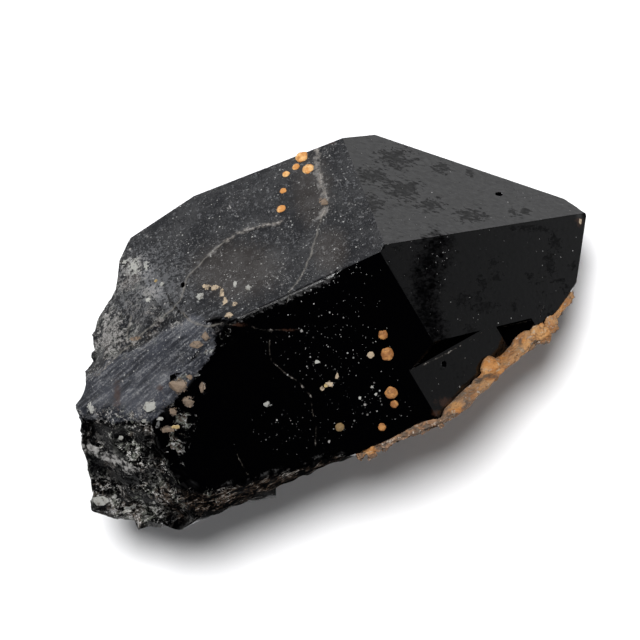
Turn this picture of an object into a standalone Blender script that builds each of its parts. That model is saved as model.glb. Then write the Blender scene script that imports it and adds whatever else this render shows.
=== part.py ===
"""Morion quartz point lying on its side, with an ochre crust along one lower edge.

The crystal is worked out in its own frame first: +X runs along the long crystal
axis to the tip, +Z is square to the broad top face. At the end it is rolled and
pitched into the way it lies on a table, with the middle of the underside of its
bounding box at the origin. All sizes are millimetres until MM turns them to metres.
"""
import math

import bmesh
import bpy
from mathutils import Matrix, Vector, noise

MM = 0.001

# How the crystal lies on the table
ROLL = 15.0
PITCH = 6.0

# Flat faces of the crystal: turn round the long axis from the top face, lean towards
# the tip, distance from the crystal's centre
PRISM_TOP = (0.0, 0.0, 27.0)
PRISM_BACK = (-59.5, -1.5, 27.0)
PRISM_FAR = (-120.5, 3.0, 27.9)
PRISM_FRONT = (60.0, 0.0, 27.3)
TIP_BACK = (-60.0, 37.7, 34.5)
TIP_TOP = (-5.5, 38.7, 34.5)
TIP_FRONT = (60.0, 38.2, 38.5)
TIP_LOW_FRONT = (119.5, 38.2, 34.0)
TIP_UNDER = (180.0, 38.2, 34.5)
TIP_FAR = (-120.5, 38.7, 37.0)
CONTACT_SIDE = (105.0, 0.5, 9.5)
REST_DEPTH = 16.0

# Break faces of the root end
ROOT_SHOULDER = (-55.3, -13.5, 29.9)
ROOT_SMOOTH = (-32.7, -14.9, 32.1)
ROOT_LOW = (0.8, -26.4, 37.2)
ROOT_CORNER = (-118.0, -12.5, 30.1)
ROOT_SIDE_A = (-124.9, -46.1, 32.2)
ROOT_SIDE_B = (-117.5, -48.3, 33.9)
ROOT_SIDE_C = (-142.3, -63.4, 32.4)
ROOT_FRONT = (100.7, -38.8, 33.2)

# The broken block that the root end has along the front
BLOCK_TOP = (54.3, -11.2, 30.0)
BLOCK_FRONT = (98.0, -8.0, 19.2)
BLOCK_END = (100.7, -38.8, 33.4)
BLOCK_INNER = (75.0, 52.0, 3.0)
BLOCK_BACK_Y = 6.0

# The recessed step in the top tip face
STEP_FLOOR_DEPTH = 3.9
STEP_LEDGE_Z = 13.8
STEP_WALL_LOW = (22.9, -3.0, 26.2)
STEP_WALL_HIGH = (40.0, -9.6, 13.2)
STEP_SIGHT = (0.0627, 0.2502, 0.9662)
STEP_SLOPE_A = (15.7, -6.0, 27.0)
STEP_SLOPE_B = (31.2, -7.5, 14.7)
STEP_SLOPE_C = (22.8, -2.8, 26.3)

# Unevenness of the root end: spacing of the cuts, size and height of broad and small lumps
ROUGH_END_X = -8.0
SLICE = 3.2
LUMP_BROAD = 8.0
LUMP_BROAD_HEIGHT = 1.6
LUMP_SMALL = 3.4
LUMP_SMALL_HEIGHT = 0.9
LUMP_SINK = 0.7

# Hollows in the root end: centre, half sizes, turns about X, Y and Z
SCOOPS = (((-42.6, 13.6, 16.0), (5.2, 4.2, 9.0), (0.0, 20.0, 30.0)),
          ((-47.5, 0.6, 15.0), (4.4, 3.2, 8.0), (0.0, 0.0, -15.0)),
          ((-33.6, 30.6, 2.0), (6.5, 5.0, 6.0), (20.0, 0.0, 30.0)),
          ((-44.0, -5.0, 25.5), (8.0, 5.0, 4.2), (0.0, -25.0, 20.0)),
          ((-30.0, 20.5, 21.5), (7.0, 5.0, 3.2), (-35.0, -20.0, 25.0)))

# Low rounded ochre domes: place on the face and width
BACK_DOMES = ((12.5, 31.3, 2.5), (10.9, 30.4, 1.5), (12.8, 29.5, 2.3), (8.8, 30.0, 1.5),
              (7.3, 28.1, 1.3), (5.9, 26.0, 1.8))
TOP_DOMES = ((14.4, 2.1, 1.8), (13.7, -1.4, 2.5), (11.0, -0.4, 1.3), (11.6, -8.2, 2.4),
             (11.3, -10.3, 1.5), (7.7, -13.3, 1.5), (0.9, -10.3, 1.7))
DOME_HEIGHT = 0.22

# Pale mineral grains grown into the root end, all at the rim of the top face
TOP_GRAINS = ((-21.4, 8.6, 4.2), (-21.8, 4.7, 2.8), (-24.6, 4.3, 2.2))
LOW_GRAINS = ((-44.0, -7.9, 3.6), (-29.4, 4.5, 2.4))
GRAIN_HEIGHT = 0.2

# Crust: gap to the stone that it grew on, thickness, where it starts and ends
CRUST_GAP = 0.3
CRUST_THICK = 1.0
CRUST_CLEAR = 2.5
CRUST_START = -8.0
CRUST_END = 48.5
CRUST_INSIDE = 1.0
CRUST_RIM = (74.2, 19.7, 28.6)
CRUST_SLICE = 2.2
CRUST_GRAIN = 0.4
# Lumps along the upper rim of the crust: place along the crystal and half width
CRUST_LUMPS = ((4.0, 1.3), (7.0, 1.1), (14.0, 0.8), (17.5, 0.9), (20.2, 1.0), (23.0, 1.1), (25.8, 1.2),
               (29.2, 2.1), (32.0, 1.6), (34.5, 1.7), (37.0, 1.9), (39.5, 2.0), (42.0, 1.6))
# Places where the crust has come off along its left and lower edges: x, z and half width
CRUST_BITES = ((1.0, 22.0, 2.6), (3.4, 15.0, 3.2), (4.2, 7.5, 2.4), (7.6, 2.0, 3.4), (9.0, -5.5, 3.0),
               (13.5, -12.5, 3.6), (22.0, -14.5, 3.4), (31.5, -14.5, 4.0), (40.5, -12.0, 3.8), (50.0, -4.0, 3.8),
               (50.5, 6.0, 2.6))

# Shallow flake scar on the back face: middle, half sizes
FLAKE = ((-0.5, 21.6), (15.0, 9.0, 2.0))
FLAKE_SINK = 0.5

NATURAL_FACES = (PRISM_TOP, PRISM_BACK, PRISM_FAR, PRISM_FRONT, TIP_BACK, TIP_TOP, TIP_FRONT,
                 TIP_LOW_FRONT, TIP_UNDER, TIP_FAR, CONTACT_SIDE)
BREAK_FACES = (ROOT_SHOULDER, ROOT_SMOOTH, ROOT_LOW, ROOT_CORNER, ROOT_SIDE_A, ROOT_SIDE_B,
               ROOT_SIDE_C, ROOT_FRONT)
SMOOTH_FACES = (PRISM_TOP, PRISM_BACK, PRISM_FAR, PRISM_FRONT, ROOT_SMOOTH)


def clear_file():
    for item in list(bpy.data.objects):
        bpy.data.objects.remove(item, do_unlink=True)


def face_normal(face):
    turn = math.radians(face[0])
    lean = math.radians(face[1])
    side = math.cos(lean)
    return Vector((math.sin(lean), -math.sin(turn) * side, math.cos(turn) * side))


def rest_rotation():
    roll = Matrix.Rotation(math.radians(ROLL), 4, "X")
    pitch = Matrix.Rotation(math.radians(-PITCH), 4, "Y")
    return pitch @ roll


def down_direction():
    return rest_rotation().inverted().to_3x3() @ Vector((0.0, 0.0, -1.0))


def block_of(planes):
    """Convex body left inside the planes, each given as a normal and a distance."""
    mesh = bmesh.new()
    bmesh.ops.create_cube(mesh, size=240.0)
    for normal, distance in planes:
        everything = mesh.verts[:] + mesh.edges[:] + mesh.faces[:]
        cut = bmesh.ops.bisect_plane(mesh, geom=everything, plane_co=normal * distance,
                                     plane_no=normal, clear_outer=True)
        rim = [item for item in cut["geom_cut"] if isinstance(item, bmesh.types.BMEdge)]
        if rim:
            bmesh.ops.contextual_create(mesh, geom=rim)
    bmesh.ops.remove_doubles(mesh, verts=mesh.verts[:], dist=0.01)
    bmesh.ops.recalc_face_normals(mesh, faces=mesh.faces[:])
    return mesh


def planes_from(faces, grow=0.0):
    return [(face_normal(face), face[2] + grow) for face in faces]


def plane_through(first, second, third, towards):
    first = Vector(first)
    normal = (Vector(second) - first).cross(Vector(third) - first).normalized()
    if normal.dot(Vector(towards)) < 0.0:
        normal = -normal
    return normal, normal.dot(first)


def object_from(mesh, name):
    data = bpy.data.meshes.new(name)
    mesh.to_mesh(data)
    mesh.free()
    item = bpy.data.objects.new(name, data)
    bpy.context.scene.collection.objects.link(item)
    return item


def combine(item, other, operation):
    """Joins or cuts with an exact Boolean, then drops the second body."""
    change = item.modifiers.new("combine", "BOOLEAN")
    change.operation = operation
    change.solver = "EXACT"
    change.object = other
    result = bpy.data.meshes.new_from_object(item.evaluated_get(bpy.context.evaluated_depsgraph_get()))
    item.modifiers.clear()
    item.data = result
    bpy.data.objects.remove(other, do_unlink=True)


def ball(centre, radii, turn=(0.0, 0.0, 0.0), detail=3):
    mesh = bmesh.new()
    bmesh.ops.create_icosphere(mesh, subdivisions=detail, radius=1.0)
    spin = Matrix.Rotation(math.radians(turn[2]), 4, "Z")
    spin = spin @ Matrix.Rotation(math.radians(turn[1]), 4, "Y")
    spin = spin @ Matrix.Rotation(math.radians(turn[0]), 4, "X")
    size = Matrix.Diagonal((radii[0], radii[1], radii[2], 1.0))
    bmesh.ops.transform(mesh, matrix=Matrix.Translation(centre) @ spin @ size, verts=mesh.verts[:])
    return mesh


def step_cutter(grow=0.0):
    """Body that is taken out to leave the recessed step in the top tip face."""
    top = face_normal(TIP_TOP)
    sight = Vector(STEP_SIGHT)
    behind = Vector(STEP_WALL_LOW) + sight * 10.0
    wall, wall_at = plane_through(STEP_WALL_LOW, STEP_WALL_HIGH, behind, (0.0, 1.0, 0.0))
    slope, slope_at = plane_through(STEP_SLOPE_A, STEP_SLOPE_B, STEP_SLOPE_C, (0.0, 1.0, -0.5))
    planes = [(-top, -(TIP_TOP[2] - STEP_FLOOR_DEPTH + grow)),
              (Vector((0.0, 0.0, -1.0)), -(STEP_LEDGE_Z + grow)),
              (wall, wall_at - grow),
              (slope, slope_at - grow)]
    return block_of(planes)


def crystal_body(name, grow=0.0):
    planes = planes_from(NATURAL_FACES + BREAK_FACES, grow)
    planes.append((down_direction(), REST_DEPTH + grow))
    crystal = object_from(block_of(planes), name)
    combine(crystal, object_from(step_cutter(grow), "step_cut"), "DIFFERENCE")
    return crystal


def root_block():
    faces = (BLOCK_TOP, BLOCK_FRONT, BLOCK_END, BLOCK_INNER, ROOT_LOW, ROOT_SIDE_C)
    planes = planes_from(faces)
    planes.append((Vector((0.0, 1.0, 0.0)), BLOCK_BACK_Y))
    planes.append((Vector((0.0, 0.0, 1.0)), 24.0))
    planes.append((down_direction(), REST_DEPTH))
    return object_from(block_of(planes), "root_block")


def distance_below(point, faces):
    """How far the point lies under the nearest of the named flat faces."""
    return min(face[2] - face_normal(face).dot(point) for face in faces)


def slice_up(item, spacing, low_x, high_x):
    """Adds a grid of cuts to one stretch of the stone so that it can be made uneven."""
    mesh = bmesh.new()
    mesh.from_mesh(item.data)
    axes = (Vector((1.0, 0.0, 0.0)), Vector((0.0, 1.0, 0.3)).normalized(), Vector((0.0, -0.3, 1.0)).normalized())
    reach = ((low_x, high_x), (-30.0, 40.0), (-30.0, 40.0))
    for axis, span in zip(axes, reach):
        place = span[0]
        while place < span[1]:
            near = [face for face in mesh.faces if face.calc_center_median().x < high_x]
            edges = list({edge for face in near for edge in face.edges})
            corners = list({corner for face in near for corner in face.verts})
            bmesh.ops.bisect_plane(mesh, geom=corners + edges + near, plane_co=axis * place, plane_no=axis)
            place += spacing
    bmesh.ops.remove_doubles(mesh, verts=mesh.verts[:], dist=0.05)
    mesh.to_mesh(item.data)
    mesh.free()


def smooth_step(low, high, value):
    share = min(1.0, max(0.0, (value - low) / (high - low)))
    return share * share * (3.0 - 2.0 * share)


def roughen_root(item):
    """Hackly break surface: broad lumps and small ones, fading out at the flat faces."""
    mesh = bmesh.new()
    mesh.from_mesh(item.data)
    bmesh.ops.triangulate(mesh, faces=mesh.faces[:])
    mesh.normal_update()
    rest = down_direction()
    moves = []
    for vertex in mesh.verts:
        point = vertex.co
        share = smooth_step(0.0, 2.5, distance_below(point, SMOOTH_FACES))
        share *= smooth_step(0.0, 2.0, REST_DEPTH - rest.dot(point))
        share *= smooth_step(ROUGH_END_X + 8.0, ROUGH_END_X - 8.0, point.x)
        broad = noise.noise(point / LUMP_BROAD + Vector((3.1, 7.7, 1.3)))
        small = noise.noise(point / LUMP_SMALL + Vector((9.4, 2.2, 5.8)))
        moves.append(vertex.normal * share * (broad * LUMP_BROAD_HEIGHT + small * LUMP_SMALL_HEIGHT - LUMP_SINK))
    for vertex, move in zip(mesh.verts, moves):
        vertex.co += move
    mesh.to_mesh(item.data)
    mesh.free()


def scoop_root(item):
    """Shell-shaped hollows where chips left the root end."""
    for number, (centre, radii, turn) in enumerate(SCOOPS):
        combine(item, object_from(ball(centre, radii, turn), "scoop_%d" % number), "DIFFERENCE")


def on_face(face, x, y):
    normal = face_normal(face)
    z = (face[2] - normal.x * x - normal.y * y) / normal.z
    return Vector((x, y, z))


def dome_on(face, x, y, width, height):
    """Low rounded bump, half sunk in the face that it grew on."""
    normal = face_normal(face)
    mesh = bmesh.new()
    bmesh.ops.create_icosphere(mesh, subdivisions=2, radius=1.0)
    size = Matrix.Diagonal((width * 0.5, width * 0.5, height, 1.0))
    tilt = normal.to_track_quat("Z", "Y").to_matrix().to_4x4()
    place = Matrix.Translation(on_face(face, x, y) - normal * height * 0.15)
    bmesh.ops.transform(mesh, matrix=place @ tilt @ size, verts=mesh.verts[:])
    return mesh


def add_domes(item):
    bumps = ((PRISM_BACK, BACK_DOMES, DOME_HEIGHT), (PRISM_TOP, TOP_DOMES, DOME_HEIGHT),
             (PRISM_TOP, TOP_GRAINS, GRAIN_HEIGHT), (ROOT_LOW, LOW_GRAINS, GRAIN_HEIGHT))
    for face, domes, height in bumps:
        for x, y, width in domes:
            combine(item, object_from(dome_on(face, x, y, width, height * width), "dome"), "UNION")


def cut_flake(item):
    """Dished scar in the back face where one wide chip came away."""
    (x, y), radii = FLAKE
    normal = face_normal(PRISM_BACK)
    along = Vector((1.0, 0.0, 0.0))
    along = (along - normal * along.dot(normal)).normalized()
    across = normal.cross(along)
    mesh = bmesh.new()
    bmesh.ops.create_icosphere(mesh, subdivisions=4, radius=1.0)
    frame = Matrix((along, across, normal)).transposed().to_4x4()
    centre = on_face(PRISM_BACK, x, y) + normal * (radii[2] - FLAKE_SINK)
    size = Matrix.Diagonal((radii[0], radii[1], radii[2], 1.0))
    bmesh.ops.transform(mesh, matrix=Matrix.Translation(centre) @ frame @ size, verts=mesh.verts[:])
    combine(item, object_from(mesh, "flake"), "DIFFERENCE")


def build_quartz():
    crystal = crystal_body("quartz_point")
    combine(crystal, root_block(), "UNION")
    slice_up(crystal, SLICE, -52.0, ROUGH_END_X)
    roughen_root(crystal)
    scoop_root(crystal)
    cut_flake(crystal)
    add_domes(crystal)
    return crystal


def height_on(face, x, y):
    return on_face(face, x, y).z


def rim_point(x):
    """Upper edge of the contact side at one place along the crystal."""
    normal = face_normal(CONTACT_SIDE)
    height = PRISM_TOP[2]
    y = 0.0
    for _ in range(12):
        y = (CONTACT_SIDE[2] - normal.x * x - normal.z * height) / normal.y
        step_face = (TIP_TOP[0], TIP_TOP[1], TIP_TOP[2] - STEP_FLOOR_DEPTH)
        step = max(height_on(step_face, x, y), STEP_LEDGE_Z)
        height = min(PRISM_TOP[2], height_on(TIP_TOP, x, y), step)
    return Vector((x, y, height))


def crust_lump(centre, radius):
    detail = 3 if radius > 1.5 else 2
    mesh = ball(centre, (radius * 1.15, radius, radius), (0.0, 35.0, 0.0), detail)
    for vertex in mesh.verts:
        away = (vertex.co - centre).normalized()
        vertex.co += away * noise.noise(vertex.co / 1.6) * CRUST_GRAIN
    return mesh


def build_crust():
    """Granular ochre crust: a rough skin on the contact side with lumps along its upper rim."""
    side = face_normal(CONTACT_SIDE)
    planes = planes_from(NATURAL_FACES, CRUST_THICK)
    planes.append((down_direction(), REST_DEPTH - CRUST_CLEAR))
    planes.append((Vector((-1.0, 0.0, -0.25)).normalized(), CRUST_START))
    planes.append((-side, CRUST_INSIDE - CONTACT_SIDE[2]))
    planes.append((Vector((1.0, 0.0, 0.0)), CRUST_END))
    planes.append((face_normal(CRUST_RIM), CRUST_RIM[2]))
    crust = object_from(block_of(planes), "ochre_crust")
    roughen_crust(crust)
    for x, radius in CRUST_LUMPS:
        middle = rim_point(x) + side * (0.55 - 0.35 * radius)
        combine(crust, object_from(crust_lump(middle, radius), "lump"), "UNION")
    for x, z, radius in CRUST_BITES:
        y = (CONTACT_SIDE[2] - side.x * x - side.z * z) / side.y
        bite = ball(Vector((x, y, z)), (radius, 4.0, radius * 1.3), (0.0, 25.0, 0.0), 2)
        combine(crust, object_from(bite, "bite"), "DIFFERENCE")
    combine(crust, crystal_body("stone", CRUST_GAP), "DIFFERENCE")
    keep_largest(crust)
    return crust


def roughen_crust(item):
    mesh = bmesh.new()
    mesh.from_mesh(item.data)
    for axis in (Vector((1.0, 0.0, 0.0)), Vector((0.0, 0.0, 1.0))):
        place = -30.0
        while place < 60.0:
            everything = mesh.verts[:] + mesh.edges[:] + mesh.faces[:]
            bmesh.ops.bisect_plane(mesh, geom=everything, plane_co=axis * place, plane_no=axis)
            place += CRUST_SLICE
    bmesh.ops.remove_doubles(mesh, verts=mesh.verts[:], dist=0.05)
    bmesh.ops.triangulate(mesh, faces=mesh.faces[:])
    mesh.normal_update()
    rest = down_direction()
    for vertex in mesh.verts:
        point = vertex.co.copy()
        share = smooth_step(0.0, 2.0, REST_DEPTH - CRUST_CLEAR - rest.dot(point))
        height = noise.noise(point / 4.0) * 0.7 + noise.noise(point / 1.9) * 0.4
        vertex.co += vertex.normal * height * share
    mesh.to_mesh(item.data)
    mesh.free()


def keep_largest(item):
    """Drops loose crumbs that the cutting may leave beside the crust."""
    mesh = bmesh.new()
    mesh.from_mesh(item.data)
    groups = []
    left = set(mesh.verts)
    while left:
        group = set()
        queue = [left.pop()]
        while queue:
            vertex = queue.pop()
            group.add(vertex)
            for edge in vertex.link_edges:
                other = edge.other_vert(vertex)
                if other in left:
                    left.discard(other)
                    queue.append(other)
        groups.append(group)
    groups.sort(key=len, reverse=True)
    for group in groups[1:]:
        bmesh.ops.delete(mesh, geom=list(group), context="VERTS")
    mesh.to_mesh(item.data)
    mesh.free()


def settle(items):
    """Rolls everything into its resting pose and centres it over the table."""
    pose = rest_rotation()
    for item in items:
        item.data.transform(pose)
    corners = [vertex.co for item in items for vertex in item.data.vertices]
    low = Vector([min(point[axis] for point in corners) for axis in range(3)])
    high = Vector([max(point[axis] for point in corners) for axis in range(3)])
    middle = (low + high) * 0.5
    shift = Vector((-middle.x, -middle.y, -low.z))
    for item in items:
        item.data.transform(Matrix.Scale(MM, 4) @ Matrix.Translation(shift))
    return shift


def finish(item, name, colour, roughness, home):
    """Names one sub-part, gives it its own material and puts it in the collection."""
    item.name = name
    item.data.name = name
    item.data.materials.clear()
    surface = bpy.data.materials.new(name)
    surface.use_nodes = True
    shader = surface.node_tree.nodes["Principled BSDF"]
    shader.inputs["Base Color"].default_value = colour
    shader.inputs["Roughness"].default_value = roughness
    shader.inputs["Metallic"].default_value = 0.0
    item.data.materials.append(surface)
    for group in list(item.users_collection):
        group.objects.unlink(item)
    home.objects.link(item)


clear_file()
parts = [build_quartz(), build_crust()]
shift_used = settle(parts)
specimen = bpy.data.collections.new("morion_quartz_point")
bpy.context.scene.collection.children.link(specimen)
finish(parts[0], "quartz_point", (0.014, 0.014, 0.017, 1.0), 0.14, specimen)
finish(parts[1], "ochre_crust", (0.42, 0.19, 0.07, 1.0), 0.85, specimen)
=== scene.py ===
import math
import random
import bmesh
import bpy
import numpy as np
from mathutils import Matrix, Vector, noise
from mathutils.bvhtree import BVHTree


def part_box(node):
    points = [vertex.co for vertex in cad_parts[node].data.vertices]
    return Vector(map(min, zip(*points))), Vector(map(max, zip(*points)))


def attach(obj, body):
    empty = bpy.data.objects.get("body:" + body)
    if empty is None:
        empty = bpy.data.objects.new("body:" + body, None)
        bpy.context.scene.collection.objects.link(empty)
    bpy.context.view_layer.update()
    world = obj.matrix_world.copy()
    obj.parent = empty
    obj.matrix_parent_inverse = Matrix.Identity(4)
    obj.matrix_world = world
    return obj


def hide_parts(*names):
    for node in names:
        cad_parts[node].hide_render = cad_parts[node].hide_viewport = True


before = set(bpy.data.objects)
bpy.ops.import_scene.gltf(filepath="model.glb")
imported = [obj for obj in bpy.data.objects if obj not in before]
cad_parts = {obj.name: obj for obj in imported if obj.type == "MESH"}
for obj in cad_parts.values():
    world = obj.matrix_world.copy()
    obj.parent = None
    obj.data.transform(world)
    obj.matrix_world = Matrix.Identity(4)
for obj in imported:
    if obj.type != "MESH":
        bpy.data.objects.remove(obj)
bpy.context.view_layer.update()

# The stand for the picture: a long lens looks down on the stone from about 0.7 metres up,
# nearly square to the table. Marks are placed by where they show in a picture 640 wide, and each
# one is carried along its line of sight onto the skin of the stone.
ROLL = math.radians(15.0)
PITCH = math.radians(6.0)
LIFT = Vector((-3.407, -3.24, 16.0))
PICTURE = 640
SENSOR = 36.0
FOCAL = 3850.0
LOOK = (math.radians(14.76), math.radians(2.4), math.radians(23.1))
STAND = Vector((-2.52, -3.17, -699.87))
MM_PER_PIXEL = 0.18

laid_down = Matrix.Rotation(-PITCH, 4, "Y") @ Matrix.Rotation(ROLL, 4, "X")
stone_to_table = Matrix.Scale(0.001, 4) @ Matrix.Translation(LIFT) @ laid_down
table_to_stone = stone_to_table.inverted()
look = Matrix.Rotation(LOOK[0], 3, "X") @ Matrix.Rotation(LOOK[1], 3, "Y") @ Matrix.Rotation(LOOK[2], 3, "Z")
eye = -(look.transposed() @ STAND)


def placed(name, data):
    thing = bpy.data.objects.new(name, data)
    bpy.context.scene.collection.objects.link(thing)
    return thing


camera = placed("camera", bpy.data.cameras.new("camera"))
camera.data.sensor_width = SENSOR
camera.data.lens = FOCAL * SENSOR / PICTURE
camera.data.clip_start = 0.05
camera.data.clip_end = 60.0
camera.matrix_world = Matrix.LocRotScale(stone_to_table @ eye, laid_down.to_3x3() @ look.transposed(), None)
bpy.context.scene.camera = camera


def sight_line(pixel):
    half = PICTURE / 2
    ray = Vector(((pixel[0] - half) / FOCAL, (half - pixel[1]) / FOCAL, -1.0))
    return (look.transposed() @ ray).normalized()


# The crystal: one point of morion, quartz so dark that it looks black. Six long faces and six
# unequal tip faces grew flat and glassy, and the root end is hackly where it broke off.
# Every face is a turn round the long axis, a lean towards the tip and a distance in millimetres.
TOP = (0.0, 0.0, 27.0)
BACK = (-59.5, -1.5, 27.0)
FAR = (-120.5, 3.0, 27.9)
FRONT = (60.0, 0.0, 27.3)
TIP_BACK = (-60.0, 37.7, 34.5)
TIP_TOP = (-5.5, 38.7, 34.5)
TIP_FRONT = (60.0, 38.2, 38.5)
TIP_LOW_FRONT = (119.5, 38.2, 34.0)
TIP_UNDER = (180.0, 38.2, 34.5)
TIP_FAR = (-120.5, 38.7, 37.0)
CONTACT = (105.0, 0.5, 9.5)
SMOOTH_BREAK = (-32.7, -14.9, 32.1)
PRISM_FACES = (TOP, BACK, FAR, FRONT, CONTACT)
TIP_FACES = (TIP_BACK, TIP_TOP, TIP_FRONT, TIP_LOW_FRONT, TIP_UNDER, TIP_FAR)
GROWN_FACES = PRISM_FACES + TIP_FACES
ROOT_TRIANGLE = 0.82
PLAIN_TRIANGLE = 1.05
WORN_TRIANGLE = 0.4
PIT_TRIANGLE = 0.22
ROOT_STARTS = -6.0


def face_normal(face):
    turn, lean = math.radians(face[0]), math.radians(face[1])
    side = math.cos(lean)
    return Vector((math.sin(lean), -math.sin(turn) * side, math.cos(turn) * side))


def under(points, face):
    """How far each point lies under one flat face, in millimetres."""
    return face[2] - points @ np.array(face_normal(face))


def smooth(low, high, value):
    """0 at low, 1 at high and an easy slope between, for values in arrays."""
    share = np.clip((value - low) / (high - low), 0.0, 1.0)
    return share * share * (3.0 - 2.0 * share)


def solid_in_stone(node):
    """A copy of a solid's mesh in the stone's own frame."""
    mesh = bmesh.new()
    mesh.from_mesh(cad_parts[node].data)
    bmesh.ops.transform(mesh, matrix=table_to_stone, verts=mesh.verts[:])
    return mesh


def as_arrays(mesh):
    """The points and triangles of a mesh, which is freed."""
    bmesh.ops.triangulate(mesh, faces=mesh.faces[:])
    mesh.verts.index_update()
    points = np.array([tuple(vertex.co) for vertex in mesh.verts])
    corners = np.array([[vertex.index for vertex in face.verts] for face in mesh.faces])
    mesh.free()
    return points, corners


def fine_skin(node, wanted_edge):
    """A solid's skin in the stone's own frame, halved along long edges until none is left."""
    mesh = solid_in_stone(node)
    bmesh.ops.remove_doubles(mesh, verts=mesh.verts[:], dist=0.002)
    points, corners = as_arrays(mesh)
    for _ in range(40):
        pairs = np.sort(np.stack([corners, np.roll(corners, -1, axis=1)], axis=2).reshape(-1, 2), axis=1)
        edges, which = np.unique(pairs, axis=0, return_inverse=True)
        which = which.reshape(-1, 3)
        length = np.linalg.norm(points[edges[:, 0]] - points[edges[:, 1]], axis=1)
        middle = (points[edges[:, 0]] + points[edges[:, 1]]) * 0.5
        marked = length > wanted_edge(middle)
        if not marked.any():
            break
        first = np.argmax(length[which], axis=1)
        longest = which[np.arange(len(which)), first]
        while True:
            wanted = marked[which].any(axis=1)
            if marked[longest[wanted]].all():
                break
            marked[longest[wanted]] = True
        fresh = np.full(len(edges), -1)
        fresh[marked] = len(points) + np.arange(marked.sum())
        points = np.vstack([points, middle[marked]])
        order = (first[:, None] + np.arange(3)) % 3
        a, b, c = np.take_along_axis(corners, order, axis=1).T
        ab, bc, ca = fresh[np.take_along_axis(which, order, axis=1)].T
        made = [corners[ab < 0]]
        for low, high, near, split, flip in ((a, ab, c, ca, False), (b, ab, c, bc, True)):
            whole = (ab >= 0) & (split < 0)
            halved = (ab >= 0) & (split >= 0)
            pieces = [(low, high, near, whole), (low, high, split, halved), (split, high, near, halved)]
            for one, two, three, chosen in pieces:
                trio = (two, one, three) if flip else (one, two, three)
                made.append(np.stack(trio, axis=1)[chosen])
        corners = np.vstack(made)
    return points, corners


def skin_normals(points, corners):
    one, two, three = (points[corners[:, i]] for i in range(3))
    flat = np.cross(two - one, three - one)
    total = np.zeros_like(points)
    for i in range(3):
        np.add.at(total, corners[:, i], flat)
    return total / np.maximum(np.linalg.norm(total, axis=1), 1e-12)[:, None]


def piece_from(points, corners, name, sharp_degrees):
    """Puts a skin of the stone's frame on the table as a piece of its own."""
    data = bpy.data.meshes.new(name)
    data.from_pydata([tuple(point) for point in points], [], [tuple(trio) for trio in corners.tolist()])
    data.transform(stone_to_table)
    data.shade_smooth()
    data.set_sharp_from_angle(angle=math.radians(sharp_degrees))
    return placed(name, data)


def keep_in_box(piece, node):
    """Draws back anything that a lump pushed past the solid's own box."""
    low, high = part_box(node)
    for vertex in piece.data.vertices:
        vertex.co = Vector([min(max(vertex.co[i], low[i]), high[i]) for i in range(3)])


def field(piece, name, values):
    layer = piece.data.attributes.new(name, "FLOAT", "POINT")
    layer.data.foreach_set("value", np.asarray(values, np.float32))


def clouds(points, size, seed, octaves=2):
    """Soft noise, about -1 to 1, at every point."""
    shift = Vector((seed * 3.7, seed * 1.9 + 5.0, seed * 7.3))
    return np.array([noise.fractal(Vector(p) / size + shift, 1.0, 2.0, octaves) for p in points])


def bowls(points, size, seed):
    """Shallow bowls with sharp rims, 0 at a rim and -1 deep in a bowl."""
    shift = Vector((seed * 2.3, seed * 5.1 + 3.0, seed * 1.7))
    near = np.array([noise.voronoi(Vector(p) / size + shift)[0][0] for p in points])
    return np.clip(near / 0.72, 0.0, 1.0) ** 1.6 - 1.0


coarse = solid_in_stone("quartz_point")
stone_skin = BVHTree.FromBMesh(coarse)
coarse.free()


def spot(pixel):
    """Where the line of sight through one place of the picture meets the stone."""
    ray = sight_line(pixel)
    hit = stone_skin.ray_cast(eye, ray)[0]
    if hit is None:
        tries = [stone_skin.find_nearest(eye + ray * (eye.length + deep)) for deep in range(-40, 41, 2)]
        hit = min(tries, key=lambda found: found[3])[0]
    return hit


def from_stretch(points, start, end):
    """How far along one straight stretch each point lies, and its offset from it."""
    along = end - start
    raw = (points - start) @ along / max(along @ along, 1e-9)
    return raw, points - start - np.clip(raw, 0.0, 1.0)[:, None] * along


def near_knots(points, knots):
    best = np.full(len(points), 1e9)
    for start, end in zip(knots, knots[1:]):
        best = np.minimum(best, np.linalg.norm(from_stretch(points, start, end)[1], axis=1))
    return best


def near_line(points, pixels):
    """Distance in millimetres from a line drawn through places of the picture."""
    return near_knots(points, [np.array(spot(pixel)) for pixel in pixels])


def near_drawing(points, pixels):
    """The same distance, but as it shows in the picture, whatever the depth."""
    across = np.array(look.transposed())[:, :2]
    knots = []
    for pixel in pixels:
        ray = sight_line(pixel)
        knots.append(np.array(eye + ray * (spot(pixel) - eye).dot(ray)) @ across)
    return near_knots(points @ across, knots)


def line_field(piece, name, points, normals, lines, reach=1.3):
    """Signed distance to the nearest of several drawn lines, and how near it counts."""
    best = np.full(len(points), 1e9)
    signed = np.zeros(len(points))
    inside = np.zeros(len(points))
    for pixels in lines:
        knots = [np.array(spot(pixel)) for pixel in pixels]
        for number, (start, end) in enumerate(zip(knots, knots[1:])):
            raw, offset = from_stretch(points, start, end)
            length = np.linalg.norm(end - start)
            gap = np.linalg.norm(offset, axis=1)
            side = np.sign(np.einsum("ij,ij->i", np.cross(end - start, offset), normals))
            before = -raw * length if number == 0 else 0.0
            after = (raw - 1.0) * length if number == len(knots) - 2 else 0.0
            past = np.maximum(np.maximum(before, after), 0.0)
            closer = gap < best
            best = np.where(closer, gap, best)
            signed = np.where(closer, gap * side, signed)
            inside = np.where(closer, smooth(reach, reach * 0.6, gap) * smooth(0.5, 0.0, past), inside)
    field(piece, name + "_gap", signed)
    field(piece, name + "_near", inside)


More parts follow.
